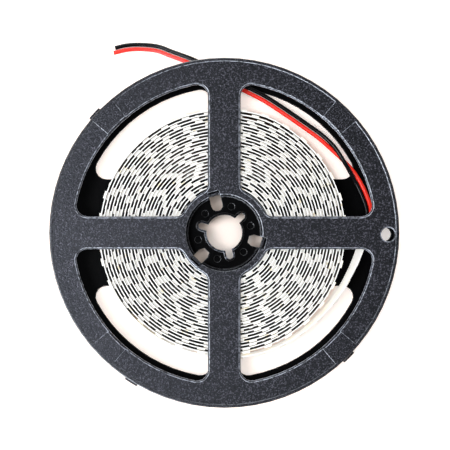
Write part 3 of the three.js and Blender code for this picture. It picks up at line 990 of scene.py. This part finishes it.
def moulding(name, node, grained):
    """A dressed copy of a node. grained(centre) is true on its textured outer faces."""
    mesh = nodes[node].data.copy()
    piece = bpy.data.objects.new(name, mesh)
    bpy.context.scene.collection.objects.link(piece)
    mesh.materials.clear()
    for finish in (shaded_black, charcoal, broken):
        mesh.materials.append(finish.material)
    pick(piece)
    bpy.ops.mesh.customdata_custom_splitnormals_clear()
    edit_faces(piece, lambda face: True)
    bpy.ops.mesh.remove_doubles(threshold=0.000002)
    bpy.ops.mesh.select_all(action="SELECT")
    bpy.ops.mesh.dissolve_limited(angle_limit=math.radians(0.5))
    leave_edit()
    edit_faces(piece, lambda face: grained(face.calc_center_median() / MM))
    piece.active_material_index = GRAINED_SLOT
    bpy.ops.object.material_slot_assign()
    shape = bmesh.from_edit_mesh(mesh)
    weight = shape.edges.layers.float.new("bevel_weight_edge")
    for edge in shape.edges:
        if len(edge.link_faces) == 2 and edge.calc_face_angle() > SHARP:
            edge[weight] = min(1, 0.48 * edge_room(edge) / BROKEN_EDGE)
    bmesh.update_edit_mesh(mesh)
    bpy.ops.mesh.select_all(action="SELECT")
    bpy.ops.mesh.quads_convert_to_tris(ngon_method="BEAUTY")
    leave_edit()
    bpy.ops.object.shade_smooth()
    corner = piece.modifiers.new("broken edges", "BEVEL")
    corner.width = BROKEN_EDGE * MM
    corner.segments = 2
    corner.limit_method = "WEIGHT"
    corner.use_clamp_overlap = False
    corner.material = BROKEN_SLOT
    flats = piece.modifiers.new("flat faces", "WEIGHTED_NORMAL")
    flats.weight = 100
    apply_modifiers(piece)
    low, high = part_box(node)
    for vertex in piece.data.vertices:
        vertex.co = [min(max(value, a), b) for value, a, b in zip(vertex.co, low, high)]
    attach(piece, "root")
    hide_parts(node)
    print(name, "has", len(piece.data.polygons), "faces")


# %% Both halves
HUB_EDGE = 14.5
HUB_EDGE_INSIDE = 13.8
RIM_LIP = 63.2

moulding(
    "front_moulding",
    "front_reel_half",
    lambda at: at.xy.length > RIM_LIP or at.z > 11.7 or (at.z > 11.3 and at.xy.length > HUB_EDGE),
)
moulding(
    "back_moulding",
    "back_reel_half",
    lambda at: at.z < 0.7 or at.xy.length > RIM_LIP or (at.z > 8 and at.xy.length > HUB_EDGE_INSIDE),
)

# %% [markdown]
# ## The table
#
# The ground is a white table. Its glow is seen by the camera and in reflections only, so
# the object gets no more light from it, and the shadows stay. The glow fades where the
# reel stands close over the table. Under the roll and the hub it is off, because the real
# ground is dim there and has a warm tint, and only the lower right of the bore has a glow
# of its own.

# %% The table
bpy.ops.mesh.primitive_plane_add(size=4, location=(0, 0, -0.00005))
table = named("table")
settle(table)
ground = bpy.data.materials.new("white_ground")
ground.use_nodes = True
tree = ground.node_tree
tree.nodes.clear()
out = tree.nodes.new("ShaderNodeOutputMaterial")
diffuse = tree.nodes.new("ShaderNodeBsdfDiffuse")
diffuse.inputs["Color"].default_value = colour(0.94, 0.80, 0.71)
glow = tree.nodes.new("ShaderNodeEmission")
glow.inputs["Color"].default_value = colour(1, 1, 1)
glow.inputs["Strength"].default_value = 1.0
lit = tree.nodes.new("ShaderNodeAddShader")
chooser = tree.nodes.new("ShaderNodeMixShader")
rays = tree.nodes.new("ShaderNodeLightPath")
spot = tree.nodes.new("ShaderNodeTexCoord")
flat = tree.nodes.new("ShaderNodeVectorMath")
flat.operation = "LENGTH"
aside = tree.nodes.new("ShaderNodeVectorMath")
aside.operation = "DISTANCE"
aside.inputs[1].default_value = (0.0018, -0.0030, 0)


def table_range(low, high, first, last, reach_node):
    """A share of the glow that runs from first to last between two distances."""
    made = tree.nodes.new("ShaderNodeMapRange")
    made.interpolation_type = "SMOOTHSTEP"
    made.inputs["From Min"].default_value = low
    made.inputs["From Max"].default_value = high
    made.inputs["To Min"].default_value = first
    made.inputs["To Max"].default_value = last
    tree.links.new(reach_node.outputs["Value"], made.inputs["Value"])
    return made.outputs[0]


def table_maths(operation, first, second):
    made = tree.nodes.new("ShaderNodeMath")
    made.operation = operation
    tree.links.new(first, made.inputs[0])
    tree.links.new(second, made.inputs[1])
    return made.outputs[0]


tree.links.new(spot.outputs["Object"], flat.inputs[0])
tree.links.new(spot.outputs["Object"], aside.inputs[0])
seen = table_maths("MAXIMUM", rays.outputs["Is Camera Ray"], rays.outputs["Is Glossy Ray"])
seen = table_maths("MAXIMUM", seen, rays.outputs["Is Transmission Ray"])
in_bore = table_range(0.0055, 0.0105, 0.22, 0.0, aside)
in_windows = table_range(0.0455, 0.0480, 0.0, 0.40, flat)
outside = table_range(0.056, 0.074, 0.0, 0.25, flat)
share = table_maths("ADD", in_bore, table_maths("ADD", in_windows, outside))
tree.links.new(diffuse.outputs[0], lit.inputs[0])
tree.links.new(glow.outputs[0], lit.inputs[1])
tree.links.new(table_maths("MULTIPLY", seen, share), chooser.inputs[0])
tree.links.new(diffuse.outputs[0], chooser.inputs[1])
tree.links.new(lit.outputs[0], chooser.inputs[2])
tree.links.new(chooser.outputs[0], out.inputs["Surface"])
table.data.materials.append(ground)

# %% [markdown]
# ## Light
#
# A large cool light stands to the left, as the brighter left side of the rim shows. A
# wider one overhead fills in, without a reflection of its own. The room is dim straight
# above and white at the horizon, so flat faces stay dark while rounded edges pick up
# light. Four low lights, seen only in reflections, draw the thin bright lines along the
# edges that face them, and a fifth at the left adds to the sheen there.

# %% The room
world = bpy.data.worlds.new("soft_room")
bpy.context.scene.world = world
world.use_nodes = True
sky = world.node_tree
sky.nodes.clear()
sky_out = sky.nodes.new("ShaderNodeOutputWorld")
room = sky.nodes.new("ShaderNodeBackground")
room.inputs["Strength"].default_value = 1.0
where = sky.nodes.new("ShaderNodeTexCoord")
parts = sky.nodes.new("ShaderNodeSeparateXYZ")
climb = sky.nodes.new("ShaderNodeMapRange")
climb.interpolation_type = "SMOOTHSTEP"
climb.inputs["From Min"].default_value = 0.15
climb.inputs["From Max"].default_value = 0.90
tones = sky.nodes.new("ShaderNodeMix")
tones.data_type = "RGBA"
tones.inputs[6].default_value = colour(1.0, 1.0, 1.0)
tones.inputs[7].default_value = colour(0.09, 0.09, 0.10)
sky.links.new(where.outputs["Generated"], parts.inputs[0])
sky.links.new(parts.outputs["Z"], climb.inputs["Value"])
sky.links.new(climb.outputs[0], tones.inputs[0])
sky.links.new(tones.outputs[2], room.inputs["Color"])
sky.links.new(room.outputs[0], sky_out.inputs["Surface"])


# %% The lamps
def soft_light(name, place, size, power, tint):
    """A square soft light that faces the hub."""
    bpy.ops.object.light_add(type="AREA", location=place)
    light = bpy.context.active_object
    light.name = name
    light.data.shape = "SQUARE"
    light.data.size = size
    light.data.energy = power
    light.data.color = tint
    light.rotation_euler = (-Vector(place)).to_track_quat("-Z", "Y").to_euler()
    return light


soft_light("left_window", (-0.33, -0.06, 0.75), 0.35, 4.6, (0.93, 0.96, 1.0))
ceiling = soft_light("ceiling", (0.10, 0.10, 0.90), 0.50, 3.2, (1.0, 0.99, 0.97))
ceiling.visible_glossy = False
sheen = soft_light("left_sheen", (-0.38, -0.06, 0.72), 0.30, 3.5, (0.88, 0.93, 1.0))
sheen.visible_diffuse = False
EDGE_LIGHT_AWAY = 0.6
EDGE_LIGHT_HEIGHT = 0.12
EDGE_LIGHT_SIZE = 0.25
for degrees, power in ((205, 7), (230, 7), (250, 7), (100, 4)):
    spin = math.radians(degrees)
    place = (EDGE_LIGHT_AWAY * math.cos(spin), EDGE_LIGHT_AWAY * math.sin(spin), EDGE_LIGHT_HEIGHT)
    edge_light = soft_light("edge_light", place, EDGE_LIGHT_SIZE, power, (0.84, 0.92, 1.0))
    edge_light.visible_diffuse = False
scene = bpy.context.scene
scene.view_settings.view_transform = "Standard"
